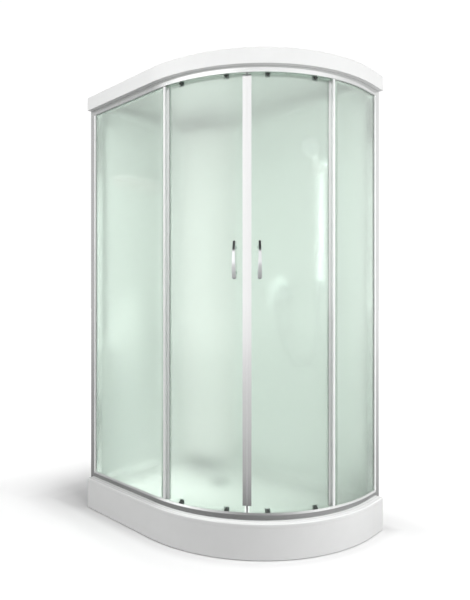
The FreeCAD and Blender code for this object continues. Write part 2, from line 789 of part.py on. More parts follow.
def fixed_glass():
    """Bent side panes in the rails, with their gaskets and the trims on their free edges."""
    far = f"{FIXED_GLASS} + dims.glass_thickness"
    low = f"{BOTTOM_TRACK} + dims.slot_clearance * 4"
    high = f"{FRAME_TOP} - dims.rail_wall - dims.slot_clearance * 4"
    stop = "(dims.wall_profile_width + dims.glass_profile_width)"
    left_end = f"dims.long_straight - {stop} + dims.glass_seat"
    right_end = f"dims.short_straight - {stop} + dims.glass_seat"
    left_edge = "(dims.meeting_angle - dims.fixed_edge_span)"
    right_edge = "(dims.meeting_angle + dims.fixed_edge_span)"
    wall = "(dims.edge_trim_wall * 180 / pi / dims.frame_radius)"
    left = at_arc("left_fixed_glass")
    slab(left, "pane", low, high, left_steps(FIXED_GLASS, far, left_end, f"({left_edge} - {wall})"))
    node(left, "left_fixed_glass")
    right = at_arc("right_fixed_glass")
    slab(right, "pane", low, high, right_steps(FIXED_GLASS, far, right_end, f"({right_edge} + {wall})"))
    node(right, "right_fixed_glass")

    slot_out = f"(dims.frame_radius - {FIXED_GLASS} + dims.slot_clearance)"
    slot_in = f"(dims.frame_radius - ({far}) - dims.slot_clearance)"
    width = "(dims.edge_trim_width * 180 / pi / dims.frame_radius)"
    for name, edge, sign in (("left_edge_trim", left_edge, "-"), ("right_edge_trim", right_edge, "+")):
        trim = at_arc(name)
        slab(trim, "channel", f"{BOTTOM_LIP} + dims.slot_clearance", high, channel_steps(
            f"({slot_out} + dims.edge_trim_wall)", f"({slot_in} - dims.edge_trim_wall)", slot_out, slot_in,
            f"({edge} {sign} {width})", edge, f"({edge} {sign} {wall} * 0.9)", sign == "-"))
        node(trim, name)

    strips = []
    near = "(dims.rail_wall + dims.slot_clearance / 3)"
    touch = f"({FIXED_GLASS} - dims.slot_clearance / 3)"
    bottom = (f"{RIM} + dims.bottom_rail_height - dims.gasket_height",
              f"{RIM} + dims.bottom_rail_height - dims.slot_clearance / 3")
    top = (f"{FRAME_TOP} - dims.top_rail_height - dims.gasket_proud",
           f"{FRAME_TOP} - dims.top_rail_height - dims.gasket_proud + dims.gasket_height")
    for name, (start, end) in (("bottom", bottom), ("top", top)):
        strip = at_arc(f"left_gasket_{name}")
        run = f"dims.long_straight - {stop} - dims.gasket_width"
        slab(strip, "strip", start, end, left_steps(near, touch, run, f"({left_edge} - {width} * 1.1)"))
        strips.append(strip)
        strip = at_arc(f"right_gasket_{name}")
        run = f"dims.short_straight - {stop} - dims.gasket_width"
        slab(strip, "strip", start, end, right_steps(near, touch, run, f"({right_edge} + {width} * 1.1)"))
        strips.append(strip)
    radius = "dims.frame_radius"
    side_low = f"{BOTTOM_LIP} + dims.slot_clearance"
    strip = at_arc("left_gasket_side")
    start = f"({stop} - dims.long_straight)"
    slab(strip, "strip", side_low, top[0],
         box_steps(start, f"{near} - {radius}", f"{start} + dims.gasket_width", f"{touch} - {radius}"))
    strips.append(strip)
    strip = at_arc("right_gasket_side")
    start = f"(dims.short_straight - ({stop}))"
    slab(strip, "strip", side_low, top[0],
         box_steps(f"{radius} - {touch}", f"{start} - dims.gasket_width", f"{radius} - {near}", start))
    strips.append(strip)
    node(group("glass_gaskets", strips), "glass_gaskets")


def channel_steps(outer, inner, slot_out, slot_in, mouth, back, floor, mouth_first):
    """Channel on the upright edge of a bent pane: its mouth, its back and its slot's floor are angles."""
    if mouth_first:
        return [
            polar(outer, mouth), arc(outer), polar(outer, back),
            polar(inner, back), arc(inner, convex=False), polar(inner, mouth),
            polar(slot_in, mouth), arc(slot_in), polar(slot_in, floor),
            polar(slot_out, floor), arc(slot_out, convex=False), polar(slot_out, mouth),
        ]
    return [
        polar(outer, back), arc(outer), polar(outer, mouth),
        polar(slot_out, mouth), arc(slot_out, convex=False), polar(slot_out, floor),
        polar(slot_in, floor), arc(slot_in), polar(slot_in, mouth),
        polar(inner, mouth), arc(inner, convex=False), polar(inner, back),
    ]


def door(side):
    """One curved sliding door: its glass, stiles, seals, handle and roller sets."""
    sign = "-" if side == "left" else "+"

    def span(degrees, millimetres="0"):
        """Angle at a distance from the meeting line, in degrees and millimetres along the glass."""
        return f"(dims.meeting_angle {sign} {degrees} {sign} ({millimetres}) * {DEGREES_PER_MM})"

    def ordered(first, second):
        return (second, first) if side == "left" else (first, second)

    lead_back = "dims.seal_split + dims.seal_width"
    lead_mouth = f"{lead_back} + dims.lead_stile_width"
    glass_lead = f"{lead_mouth} - dims.stile_slot + dims.slot_clearance"
    trail = "dims.door_span"
    stile_out = f"({DOOR_OUT} + dims.stile_front)"
    stile_in = f"({DOOR_IN} - dims.stile_back)"
    slot_out = f"({DOOR_OUT} + dims.slot_clearance)"
    slot_in = f"({DOOR_IN} - dims.slot_clearance)"

    sheet_body = at_arc(f"{side}_pane")
    start, end = ordered(span("0", glass_lead), span(trail))
    slab(sheet_body, "pane", DOOR_LOW, DOOR_HIGH, sector_steps(DOOR_OUT, DOOR_IN, start, end))
    holes = []
    bolt_low = f"({DOOR_LOW} + dims.bolt_low_edge)"
    bolt_high = f"({DOOR_HIGH} - dims.bolt_high_edge)"
    roller_angles = {"lead": span("dims.lead_roller_span"), "trail": span("dims.trail_roller_span")}
    depth = f"{DOOR_OUT} - {DOOR_IN} + 2 * dims.glass_thickness"
    below = f"{DOOR_IN} - dims.glass_thickness"
    for place_name, angle in roller_angles.items():
        for end_name, height in (("low", bolt_low), ("high", bolt_high)):
            holes.append(radial_rod(f"{side}_hole_{place_name}_{end_name}",
                                    "dims.bolt_radius + dims.bolt_clearance", below, depth, angle, height))
    grip = span("dims.handle_span")
    grip_ends = ("+", "-")
    for end_sign in grip_ends:
        height = f"dims.tray_height + dims.handle_height {end_sign} dims.handle_post_span / 2"
        holes.append(radial_rod(f"{side}_grip_hole_{len(holes)}",
                                "dims.handle_post_radius * 0.7 + dims.bolt_clearance",
                                below, depth, grip, height))
    node(cut(f"{side}_door_glass", sheet_body, group(f"{side}_holes", holes)), f"{side}_door_glass")

    stile = at_arc(f"{side}_leading_stile")
    low = f"{RIM} + dims.lead_stile_low"
    high = f"{FRAME_TOP} - dims.lead_stile_high"
    slab(stile, "channel", low, high, channel_steps(
        stile_out, stile_in, slot_out, slot_in, span("0", lead_mouth), span("0", lead_back),
        span("0", f"{lead_mouth} - dims.stile_slot"), side == "left"))
    node(stile, f"{side}_leading_stile")

    seal = at_arc(f"{side}_magnet_seal")
    start, end = ordered(span("0", "dims.seal_split"), span("0", lead_back))
    slab(seal, "strip", DOOR_LOW, DOOR_HIGH, sector_steps(
        f"({stile_out} - dims.seal_inset)", f"({stile_in} + dims.seal_inset)", start, end))
    node(seal, f"{side}_magnet_seal")

    stile = at_arc(f"{side}_trailing_stile")
    low = f"{RIM} + dims.trail_stile_low"
    high = f"{FRAME_TOP} - dims.trail_stile_high"
    back = span(trail, "dims.slot_clearance + dims.edge_trim_wall")
    mouth = span(trail, "dims.slot_clearance + dims.edge_trim_wall - dims.trail_stile_width")
    slab(stile, "channel", low, high, channel_steps(
        stile_out, stile_in, slot_out, slot_in, mouth, back, span(trail, "dims.slot_clearance"),
        side == "right"))
    node(stile, f"{side}_trailing_stile")

    drip = at_arc(f"{side}_bottom_seal")
    start, end = ordered(span("0", glass_lead), span(trail))
    middle = f"({DOOR_OUT} - dims.glass_thickness / 2)"
    slab(drip, "strip", f"{DOOR_LOW} - dims.drip_seal_height", DOOR_LOW, sector_steps(
        f"({middle} + dims.drip_seal_width / 2)", f"({middle} - dims.drip_seal_width / 2)", start, end))
    node(drip, f"{side}_bottom_seal")

    door_handle(side, grip)

    caps = []
    brackets = []
    for place_name, angle in roller_angles.items():
        for end_name, bolt, wheel in (("low", bolt_low, BOTTOM_WHEEL), ("high", bolt_high, TOP_WHEEL)):
            name = f"{side}_{place_name}_{end_name}"
            caps.append(roller_cap(name, angle, bolt, end_name))
            brackets.append(roller_bracket(name, angle, bolt, wheel))
            roller(f"{side}_roller_{place_name}_{end_name}", angle, wheel)
    node(group(f"{side}_roller_caps", caps), f"{side}_roller_caps")
    node(group(f"{side}_roller_brackets", brackets), f"{side}_roller_brackets")


def roller_cap(name, angle, bolt, end_name):
    """Three-cornered cap on the outside of the door; its point faces away from the rail."""
    cap = at_arc(f"{name}_cap", yaw=angle)
    half = "dims.cap_width / 2"
    blunt = "dims.cap_width / 12"
    if end_name == "low":
        base = f"({bolt} - dims.cap_bolt_edge)"
        tip = f"({base} + dims.cap_low_height)"
    else:
        base = f"({bolt} + dims.cap_bolt_edge)"
        tip = f"({base} - dims.cap_high_height)"
    shield = new_sketch(cap, "shield", plane="XZ_Plane", offset=DOOR_OUT)
    outline(shield, [(f"-{half}", base), (half, base), (blunt, tip), (f"-{blunt}", tip)])
    body_pad = pad(cap, shield, "dims.cap_thickness")
    outer = number(f"{DOOR_OUT} + dims.cap_thickness")
    fillet(cap, body_pad, "dims.cap_round", lambda point: abs(point.y + outer) < 0.01)
    socket = new_sketch(cap, "socket", plane="XZ_Plane", offset=DOOR_OUT)
    circle(socket, "dims.bolt_radius + dims.slot_clearance", "0", bolt)
    pad(cap, socket, "dims.cap_thickness * 0.6", pocket=True, reverse=True)
    return cap


def roller_bracket(name, angle, bolt, wheel):
    """Plate on the inside of the door that carries the bolt and the axle of one roller."""
    bracket = at_arc(f"{name}_bracket", yaw=angle)
    seat = f"({DOOR_IN} - dims.slot_clearance)"
    plate = new_sketch(bracket, "plate", plane="XZ_Plane", offset=seat)
    half = "dims.bracket_width / 2"
    reach = "dims.wheel_radius * 0.75"
    upper, lower = (bolt, wheel) if number(bolt) > number(wheel) else (wheel, bolt)
    over = half if upper == bolt else reach
    under = half if lower == bolt else reach
    outline(plate, box_steps(f"-{half}", f"{lower} - {under}", half, f"{upper} + {over}"))
    pad(bracket, plate, "dims.bracket_thickness", reverse=True)
    stud = new_sketch(bracket, "stud", plane="XZ_Plane", offset=f"{DOOR_IN} - dims.bracket_thickness / 2")
    circle(stud, "dims.bolt_radius", "0", bolt)
    pad(bracket, stud, "dims.bracket_thickness / 2 + dims.glass_thickness + dims.cap_thickness / 2")
    axle = new_sketch(bracket, "axle", plane="XZ_Plane", offset=f"{DOOR_IN} - dims.bracket_thickness / 2")
    circle(axle, "dims.axle_radius", "0", wheel)
    end = f"{WHEEL_IN} - dims.track_clearance"
    pad(bracket, axle, f"{DOOR_IN} - dims.bracket_thickness / 2 - ({end})", reverse=True)
    head = new_sketch(bracket, "head", plane="XZ_Plane", offset=end)
    circle(head, "dims.axle_radius * 1.6", "0", wheel)
    pad(bracket, head, "dims.axle_head", reverse=True)
    return bracket


def roller(name, angle, height):
    """Wheel that runs on the track inside the door."""
    solid = radial_rod(f"{name}_disc", "dims.wheel_radius", WHEEL_IN, "dims.wheel_width", angle, height)
    bore = radial_rod(f"{name}_bore", "dims.axle_radius + dims.axle_clearance", WHEEL_IN, "dims.wheel_width",
                      angle, height)
    node(cut(name, solid, bore), name)


# The ends of a handle are arcs that rise by a share of their half width, and so have this bend.
END_RISE = 0.6
END_BEND = (1 + END_RISE ** 2) / (2 * END_RISE)


def door_handle(side, angle):
    """Bowed handle on two posts that are screwed through the glass."""
    handle = at_arc(f"{side}_handle", yaw=angle)
    centre = "(dims.tray_height + dims.handle_height)"
    half = "(dims.handle_length / 2)"
    bend = f"(({half} * {half} + dims.handle_bow * dims.handle_bow) / 2 / dims.handle_bow)"
    near = f"-({DOOR_OUT} + dims.handle_standoff)"
    far = f"-({DOOR_OUT} + dims.handle_standoff + dims.handle_thickness)"
    bow = new_sketch(handle, "bow", plane="YZ_Plane")
    outline(bow, [
        (far, f"{centre} + {half}"), arc(bend), (far, f"{centre} - {half}"),
        (near, f"{centre} - {half}"), arc(bend, convex=False), (near, f"{centre} + {half}")])
    bar = pad(handle, bow, "dims.handle_low_width", middle=True)
    taper = new_sketch(handle, "taper", plane="XZ_Plane", offset=f"{DOOR_OUT} + 4 * dims.handle_bow")
    wide = "(dims.handle_low_width / 2)"
    slim = "(dims.handle_top_width / 2)"
    low = f"({centre} - {half} + {wide} * {END_RISE})"
    high = f"({centre} + {half} - {slim} * {END_RISE})"
    outline(taper, box_steps(f"-2 * {wide}", f"{centre} - {half} - {wide}",
                             f"2 * {wide}", f"{centre} + {half} + {wide}"))
    outline(taper, [
        (wide, low), (slim, high), arc(f"{slim} * {END_BEND}"), (f"-{slim}", high),
        (f"-{wide}", low), arc(f"{wide} * {END_BEND}")])
    shaped = pad(handle, taper, "4 * dims.handle_bow", pocket=True)
    fillet(handle, shaped, "dims.handle_round", lambda point: True)
    for end_sign in ("+", "-"):
        height = f"{centre} {end_sign} dims.handle_post_span / 2"
        label = "upper" if end_sign == "+" else "lower"
        post = new_sketch(handle, f"{label}_post", plane="XZ_Plane", offset=DOOR_OUT)
        circle(post, "dims.handle_post_radius", "0", height)
        pad(handle, post, "dims.handle_standoff + dims.handle_bow * 0.55")
        stud = new_sketch(handle, f"{label}_stud", plane="XZ_Plane", offset=f"{DOOR_IN} - dims.handle_nut")
        circle(stud, "dims.handle_post_radius * 0.7", "0", height)
        pad(handle, stud, "dims.handle_nut + dims.glass_thickness + dims.handle_standoff / 2")
        nut = new_sketch(handle, f"{label}_nut", plane="XZ_Plane", offset=f"{DOOR_IN} - dims.slot_clearance")
        circle(nut, "dims.handle_nut_radius", "0", height)
        pad(handle, nut, "dims.handle_nut", reverse=True)
    node(handle, f"{side}_handle")


def back_walls():
    right = f"({ARC_X} + dims.frame_radius - dims.rail_depth)"
    hole = "(dims.barrel_radius + dims.barrel_clearance)"
    panel = new_body("long_wall_panel")
    slab(panel, "sheet", RIM, FRAME_TOP, box_steps(
        f"{PANEL_X} - dims.panel_thickness", PANEL_Y, right, f"{PANEL_Y} + dims.panel_thickness"))
    opening = new_sketch(panel, "valve_hole", plane="XZ_Plane", offset=f"-({PANEL_Y})")
    circle(opening, hole, MIXER_X, "dims.mixer_height")
    pad(panel, opening, "dims.panel_thickness", pocket=True, reverse=False)
    node(panel, "long_wall_panel")
    panel = new_body("short_wall_panel")
    slab(panel, "sheet", RIM, FRAME_TOP, box_steps(
        f"{PANEL_X} - dims.panel_thickness", f"{ARC_Y} - dims.frame_radius + dims.rail_depth",
        PANEL_X, PANEL_Y))
    node(panel, "short_wall_panel")

    column = new_body("corner_column", PANEL_X, PANEL_Y)
    across = "dims.column_on_long_wall"
    down = "dims.column_on_short_wall"
    skin = "dims.column_skin"
    radius = "dims.column_radius"
    slab(column, "skin", RIM, FRAME_TOP, [
        ("0", f"-{down}"), arc(radius), (across, "0"), (f"{across} - {skin} * 1.4", "0"),
        arc(f"({radius} - {skin})", convex=False), ("0", f"{skin} * 1.9 - {down}")])
    node(column, "corner_column")

    shelf = new_body("shelf", PANEL_X, f"{PANEL_Y} - dims.shelf_centre", "dims.shelf_height")
    half = "(dims.shelf_length / 2)"
    depth = "dims.shelf_depth"
    thick = "dims.shelf_thickness"
    corner = f"({depth} * 0.6)"
    slab(shelf, "board", "0", thick, [
        ("0", f"-{half}"), (f"{depth} - {corner}", f"-{half}"), arc(corner), (depth, f"{corner} - {half}"),
        (depth, f"{half} - {corner}"), arc(corner), (f"{depth} - {corner}", half), ("0", half)])
    slab(shelf, "back", f"-dims.shelf_back + {thick}", f"{thick} / 2", box_steps(
        "0", f"{thick} - {half}", thick, f"{half} - {thick}"))
    node(shelf, "shelf")


def mixer():
    """Wall mixer: valve body with its rose and inlets, a cap that turns and a lever that lifts."""
    z = "dims.mixer_height"
    front = f"({PANEL_Y} - dims.rose_thickness - dims.barrel_length)"
    back = f"({PANEL_Y} + dims.panel_thickness)"
    rose = rod("mixer_rose", "dims.rose_radius", "dims.rose_thickness", MIXER_X, PANEL_Y, z, roll="90")
    barrel = rod("mixer_barrel", "dims.barrel_radius", f"{back} - {front}", MIXER_X, back, z, roll="90")
    yoke = block("mixer_yoke", f"{MIXER_X} - dims.inlet_span / 2 - dims.inlet_radius", back,
                 f"{z} - dims.inlet_radius", "dims.inlet_span + 2 * dims.inlet_radius",
                 "dims.service_gap - dims.inlet_length - dims.rail_rib", "2 * dims.inlet_radius")
    elbow_y = f"({front} + dims.elbow_radius + dims.rose_thickness)"
    elbow = rod("mixer_elbow", "dims.elbow_radius", "dims.elbow_length", MIXER_X, elbow_y,
                f"{z} - dims.elbow_length")
    pieces = [rose, barrel, yoke, elbow]
    bores = []
    for name, sign in (("left", "-"), ("right", "+")):
        x = f"{MIXER_X} {sign} dims.inlet_span / 2"
        end = f"({LONG_WALL} - dims.rail_rib)"
        pieces.append(rod(f"mixer_inlet_{name}", "dims.inlet_radius", f"{end} - {back}", x, end, z,
                          roll="90"))
        bores.append(rod(f"mixer_bore_{name}", "dims.inlet_bore", "dims.inlet_length", x, end, z, roll="90"))
    node(cut("mixer_body", fuse("mixer_solid", *pieces), group("mixer_bores", bores)), "mixer_body")

    cap_back = f"({front} - dims.turn_clearance)"
    cap = new_body("mixer_cap", MIXER_X, cap_back, z, roll="90")
    radius = "dims.barrel_radius"
    length = "dims.cap_length"
    turned(cap, "dome", [
        ("0", "0"), (radius, "0"), (radius, f"{length} * 0.7"), (f"{radius} * 0.8", length), ("0", length)])
    slot = new_sketch(cap, "slot", offset=f"{length}")
    gap = "(dims.lever_width / 2 + dims.turn_clearance)"
    outline(slot, box_steps(f"-{gap}", f"-{radius} * 1.1", gap, f"{radius} * 0.5"))
    pad(cap, slot, "dims.lever_fork", pocket=True)
    thick = "dims.lever_thickness"
    floor = f"({length} - dims.lever_fork + dims.turn_clearance)"
    pin_out = f"({floor} + {thick} / 2)"
    pin_up = f"({thick} / 2)"
    bore = new_sketch(cap, "pin_bore", plane="YZ_Plane")
    circle(bore, "dims.lever_pin_radius + dims.slider_clearance", pin_up, pin_out)
    pad(cap, bore, f"2 * ({gap} + dims.lever_pin_depth + dims.turn_clearance)", middle=True, pocket=True)
    node(cap, "mixer_cap")

    lever = new_body("mixer_lever", MIXER_X, cap_back, z)
    tip = "dims.lever_length"
    side = new_sketch(lever, "side", plane="YZ_Plane")
    outline(side, [
        (f"-{floor} - {thick}", pin_up), (f"-{floor} - {thick}", f"-{radius} * 0.6"),
        (f"-{floor} - {thick} - {tip} * 0.3", f"-{tip}"), (f"-{floor} - {tip} * 0.3", f"-{tip}"),
        (f"-{floor}", f"-{radius} * 0.9"), (f"-{floor}", pin_up)])
    pad(lever, side, "dims.lever_width", middle=True)
    for name, round_radius, across in (
            ("hub", f"{thick} / 2", "dims.lever_width"),
            ("pin", "dims.lever_pin_radius", f"2 * ({gap} + dims.lever_pin_depth)")):
        turn = new_sketch(lever, name, plane="YZ_Plane")
        circle(turn, round_radius, f"-{pin_out}", pin_up)
        pad(lever, turn, across, middle=True)
    node(lever, "mixer_lever")


def hand_shower():
    """Slide bar with its brackets, the slider, the tilting holder, the hand shower and its hose."""
    bar_top = f"({BAR_LOW} + dims.bar_length)"
    tube = rod("bar_tube", "dims.bar_radius", "dims.bar_length", BAR_X, BAR_Y, BAR_LOW)
    bore = rod("bar_bore", "dims.bar_bore", "dims.bar_length", BAR_X, BAR_Y, BAR_LOW)
    node(cut("slide_bar", tube, bore), "slide_bar")
    brackets = []
    for name, height in (("low", f"{BAR_LOW} + dims.bar_end"), ("high", f"{bar_top} - dims.bar_end")):
        arm = rod(f"bracket_arm_{name}", "dims.bar_bracket_radius",
                  "dims.bar_standoff + dims.bar_bracket_radius", BAR_X, PANEL_Y, height, roll="90")
        rose = rod(f"bracket_rose_{name}", "dims.bar_rose_radius", "dims.bar_rose", BAR_X, PANEL_Y, height,
                   roll="90")
        hole = rod(f"bracket_hole_{name}", "dims.bar_radius + dims.slider_clearance",
                   "4 * dims.bar_bracket_radius", BAR_X, BAR_Y, f"{height} - 2 * dims.bar_bracket_radius")
        brackets.append(cut(f"bracket_{name}", fuse(f"bracket_solid_{name}", arm, rose), hole))
    node(group("bar_brackets", brackets), "bar_brackets")

    z = SLIDER_Z
    sleeve = rod("slider_sleeve", "dims.slider_radius", "dims.slider_length", BAR_X, BAR_Y,
                 f"{z} - dims.slider_length / 2")
    arm_end = f"({PIVOT_Y} + dims.holder_radius + dims.holder_gap)"
    arm = rod("slider_arm", "dims.slider_arm_radius", f"{BAR_Y} - {arm_end}", BAR_X, BAR_Y, z, roll="90")
    knob = rod("slider_knob", "dims.slider_arm_radius", "dims.slider_radius * 2", BAR_X, BAR_Y, z,
               yaw="90", roll="90")
    pieces = [sleeve, arm, knob]
    half = "(dims.holder_width / 2)"
    inner = f"({half} + dims.slot_clearance)"
    cheek = "dims.fork_thickness"
    tall = "(dims.slider_arm_radius * 1.6)"
    pieces.append(block("fork_bridge", f"{BAR_X} - {inner} - {cheek}", arm_end, f"{z} - {tall} / 2",
                        f"2 * ({inner} + {cheek})", cheek, tall))
    pins = []
    for name, x, start, turn in (
            ("left", f"{BAR_X} - {inner} - {cheek}", f"{BAR_X} - {inner} - {cheek} / 2", "90"),
            ("right", f"{BAR_X} + {inner}", f"{BAR_X} + {inner} + {cheek} / 2", "-90")):
        pieces.append(block(f"fork_cheek_{name}", x, f"{PIVOT_Y} - {tall} / 2", f"{z} - {tall} / 2", cheek,
                            f"{arm_end} + {cheek} - {PIVOT_Y} + {tall} / 2", tall))
        pieces.append(rod(f"fork_pin_{name}", "dims.pivot_radius",
                          f"{cheek} / 2 + dims.slot_clearance + dims.pivot_depth", start, PIVOT_Y, z,
                          yaw=turn, roll="90"))
        pins.append(rod(f"holder_pin_hole_{name}", "dims.pivot_radius + dims.slider_clearance",
                        f"{cheek} / 2 + 2 * dims.slot_clearance + dims.pivot_depth", start, PIVOT_Y, z,
                        yaw=turn, roll="90"))
    hole = rod("slider_hole", "dims.bar_radius + dims.slider_clearance", "dims.slider_length", BAR_X, BAR_Y,
               f"{z} - dims.slider_length / 2")
    node(cut("shower_slider", fuse("slider_solid", *pieces), hole), "shower_slider")

    lean = "dims.handset_lean"
    barrel = rod("holder_barrel", "dims.holder_radius", "dims.holder_width", f"{BAR_X} - {half}", PIVOT_Y, z,
                 yaw="90", roll="90")
    deep = "(4 * dims.holder_radius)"
    bore = rod("holder_bore", "dims.handset_radius + dims.holder_clearance", deep, BAR_X,
               f"{PIVOT_Y} + sin({lean}) * {deep} / 2", f"{z} - cos({lean}) * {deep} / 2", roll=lean)
    node(cut("handset_holder", barrel, group("holder_holes", [bore, *pins])), "handset_holder")

    handle = new_body("handset_handle", BAR_X, PIVOT_Y, z, roll=lean)
    radius = "dims.handset_radius"
    tail = "dims.handset_tail"
    length = "(dims.handset_handle - dims.handset_tail)"
    deep = "dims.head_thickness"
    turned(handle, "grip", [
        ("0", f"-{tail}"), (f"{radius} * 0.85", f"-{tail}"), (f"{radius} * 0.85", f"-{tail} * 0.6"),
        (radius, f"-{tail} * 0.5"), (radius, f"{tail} * 0.5"), (f"{radius} * 0.9", f"{length} * 0.6"),
        (f"{radius} * 1.1", f"{length} - {deep} * 0.4"), ("0", f"{length} - {deep} * 0.4")])
    tilt = f"({lean} + dims.head_tilt)"
    head_y = f"({PIVOT_Y} - sin({lean}) * {length} - sin({tilt}) * dims.head_offset)"
    head_z = f"({z} + cos({lean}) * {length} + cos({tilt}) * dims.head_offset)"
    head = new_body("handset_head", BAR_X, head_y, head_z, roll=tilt)
    wide = "dims.head_radius"
    turned(head, "disc", [
        ("0", f"-{deep} / 2"), (f"{wide} * 0.5", f"-{deep} / 2"), (f"{wide} * 0.9", "0"),
        (wide, f"{deep} * 0.25"), (wide, f"{deep} / 2"), ("0", f"{deep} / 2")])
    node(fuse("hand_shower", handle, head), "hand_shower")
    face = rod("spray_face", "dims.spray_radius", "dims.spray_thickness", BAR_X,
               f"{head_y} - sin({tilt}) * {deep} / 2", f"{head_z} + cos({tilt}) * {deep} / 2", roll=tilt)
    node(face, "spray_face")


def hose_route():
    """Corner points of the hose from the mixer's elbow to the tail of the hand shower."""
    elbow_y = f"{PANEL_Y} - dims.barrel_length + dims.elbow_radius"
    start = FreeCAD.Vector(number(MIXER_X), number(elbow_y), number("dims.mixer_height - dims.elbow_length"))
    lean = math.radians(number("dims.handset_lean"))
    along = FreeCAD.Vector(0, -math.sin(lean), math.cos(lean))
    pivot = FreeCAD.Vector(number(BAR_X), number(PIVOT_Y), number(SLIDER_Z))
    end = pivot - along * number("dims.handset_tail")
    drop = number("dims.hose_drop")
    run = number("dims.hose_end_run")
    bow = number("dims.hose_bow")
    reach = end.x - start.x
    return [
        start,
        FreeCAD.Vector(start.x, start.y, start.z - run),
        FreeCAD.Vector(start.x + reach * 0.26, start.y - bow * 0.4, drop),
        FreeCAD.Vector(start.x + reach * 0.88, start.y - bow, drop),
        FreeCAD.Vector(end.x, end.y, drop + number("dims.hose_rise")),
        end - along * run,
        end,
    ]


def hose():
    """Hollow hose: straight runs joined by arcs that touch them."""
    route = hose_route()
    edges = []
    here = route[0]
    for before, corner, after in zip(route, route[1:], route[2:]):
        arriving = (corner - before).normalize()
        leaving = (after - corner).normalize()
        turn = arriving.getAngle(leaving)
        reach = 0.45 * min((corner - before).Length, (after - corner).Length)
        start = corner - arriving * reach
        end = corner + leaving * reach
        radius = reach / math.tan(turn / 2)
        middle = corner + (leaving - arriving).normalize() * (radius / math.cos(turn / 2) - radius)
        edges.append(Part.LineSegment(here, start).toShape())
        edges.append(Part.Arc(start, middle, end).toShape())
        here = end
    edges.append(Part.LineSegment(here, route[-1]).toShape())
    path = Part.Wire(edges)
    first = route[0]
    heading = (route[1] - route[0]).normalize()

    def swept(radius):
        ring = Part.Wire([Part.Circle(first, heading, radius).toShape()])
        return path.makePipeShell([ring], True, False)

    thing = doc.addObject("Part::Feature", "shower_hose")
    thing.Shape = swept(number("dims.hose_radius")).cut(swept(number("dims.hose_bore")))
    node(thing, "shower_hose")


def roof():
    shell = at_arc("roof_shell")
    top = f"({FRAME_TOP} + dims.roof_fascia)"
    slab(shell, "flange", FRAME_TOP, f"{FRAME_TOP} + dims.roof_skin",
         whole_steps("0"), whole_steps("dims.roof_flange"))
    slab(shell, "fascia", FRAME_TOP, top, whole_steps("0"), whole_steps("dims.roof_skin"))
    slab(shell, "skirt", f"{FRAME_TOP} - dims.roof_skirt", f"{FRAME_TOP} + dims.roof_skin",
         front_steps("-dims.rim_overhang", "dims.roof_skin - dims.rim_overhang"))
    slab(shell, "return", f"{FRAME_TOP} - dims.roof_skirt", f"{FRAME_TOP} - dims.roof_skirt + dims.roof_skin",
         front_steps("-dims.rim_overhang", "-dims.roof_gap"))
    shoulder = slab(shell, "shoulder", f"{top} - dims.roof_skin", top, whole_steps("0"),
                    whole_steps("dims.roof_shoulder"))
    fillet(shell, shoulder, "dims.roof_round * 0.6", lambda point: level(top)(point) and on_front_edge(point))
    for name, skin, hollow in (("outside", "0", False), ("inside", "dims.roof_skin", True)):
        tapered(shell, f"dome_{name}", f"{top} - dims.roof_skin",
                whole_steps(f"dims.roof_shoulder + {skin} - dims.roof_skin"),
                f"{top} + dims.roof_rise - {skin}",
                whole_steps(f"dims.roof_shoulder + dims.dome_slope + {skin}"), hollow)
    node(shell, "roof_shell")


tray()
under_tray()
rails()
wall_profiles()
fixed_glass()
door("left")
door("right")
back_walls()
mixer()
hand_shower()
hose()
roof()
doc.recompute()

broken = [thing.Name for thing in doc.Objects if {"Invalid", "Error"} & set(thing.State)]
if broken:
    raise RuntimeError(f"did not build: {', '.join(broken)}")
os.makedirs("parts", exist_ok=True)
for thing in nodes:
    shape = thing.Shape
    if shape.isNull() or not shape.isValid() or not shape.Solids:
        raise RuntimeError(f"{thing.Label} has no valid solid")
    shape.exportStep(f"parts/{thing.Label}.step")
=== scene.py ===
import json
import math

import bpy
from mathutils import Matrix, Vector


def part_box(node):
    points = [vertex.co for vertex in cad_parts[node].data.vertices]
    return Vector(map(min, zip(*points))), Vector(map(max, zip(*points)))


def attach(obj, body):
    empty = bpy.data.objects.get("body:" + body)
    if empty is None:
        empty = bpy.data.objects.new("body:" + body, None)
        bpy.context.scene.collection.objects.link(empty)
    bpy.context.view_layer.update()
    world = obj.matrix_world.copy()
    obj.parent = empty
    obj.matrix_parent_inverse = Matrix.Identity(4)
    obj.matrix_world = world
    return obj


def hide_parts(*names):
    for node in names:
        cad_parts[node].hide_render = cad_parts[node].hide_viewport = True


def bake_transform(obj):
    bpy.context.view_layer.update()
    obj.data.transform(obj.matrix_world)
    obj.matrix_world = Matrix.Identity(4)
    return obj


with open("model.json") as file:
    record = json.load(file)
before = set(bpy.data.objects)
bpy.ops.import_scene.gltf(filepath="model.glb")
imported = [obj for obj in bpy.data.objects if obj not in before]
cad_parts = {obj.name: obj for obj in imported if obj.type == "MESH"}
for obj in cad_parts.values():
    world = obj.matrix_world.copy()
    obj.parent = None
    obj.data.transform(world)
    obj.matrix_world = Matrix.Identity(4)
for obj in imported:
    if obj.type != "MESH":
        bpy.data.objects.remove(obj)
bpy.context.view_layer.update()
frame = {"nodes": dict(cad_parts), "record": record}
nodes = frame["nodes"]
slot_of = {part["node"]: part["material_slot"] for part in frame["record"]["subparts"]}

# Camera: level, with the picture shifted off its axis
CAMERA = Vector((1.694, -1.872, 1.071))
VIEW = Vector((-0.6949, 0.7191, 0.0))
SENSOR_WIDTH = 36.0
LENS = 31.23
SHIFT = (0.0405, -0.0048)

# Tray's outline: centre and radius of its front arc, half its length and half its width
TRAY_ARC = (-0.1, 0.3, 0.7)
TRAY_SIDE = 0.6
TRAY_BACK = 0.4

